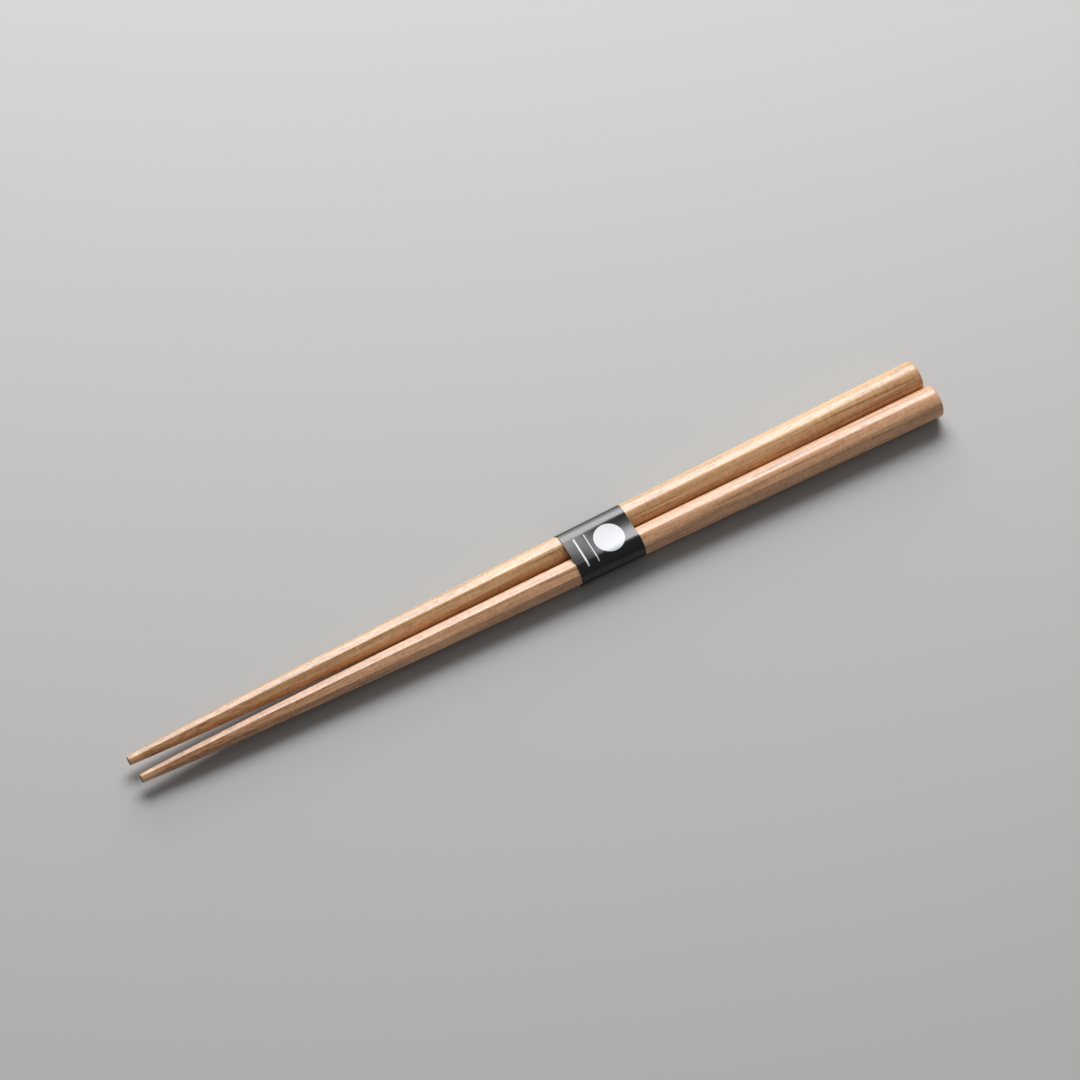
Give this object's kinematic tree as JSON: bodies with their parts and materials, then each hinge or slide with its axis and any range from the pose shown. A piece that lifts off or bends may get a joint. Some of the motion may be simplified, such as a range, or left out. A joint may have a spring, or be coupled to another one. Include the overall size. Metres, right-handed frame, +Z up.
{
  "type": "pair of chopsticks",
  "caption": "Tapered wooden chopsticks with planed sides and soft corners, lying side by side and held together near the middle by a black paper band.",
  "frame": {"origin": "under the middle of the pair, on the surface that it lies on", "axes": "+X along the sticks from the tips to the butts, +Y towards the back stick, +Z up"},
  "size_m": [0.2256, 0.0174, 0.0086],
  "materials": {
    "wood_golden": "fine straight grain, satin oil finish, golden brown",
    "wood_rosy": "fine straight grain, satin oil finish, slightly rosy brown",
    "black_paper": "black printed paper with a glossy coat and a plain white print"
  },
  "bodies": {
    "root": {"chopstick_back": "wood_golden", "chopstick_front": "wood_rosy", "paper_band": "black_paper"}
  },
  "joints": []
}
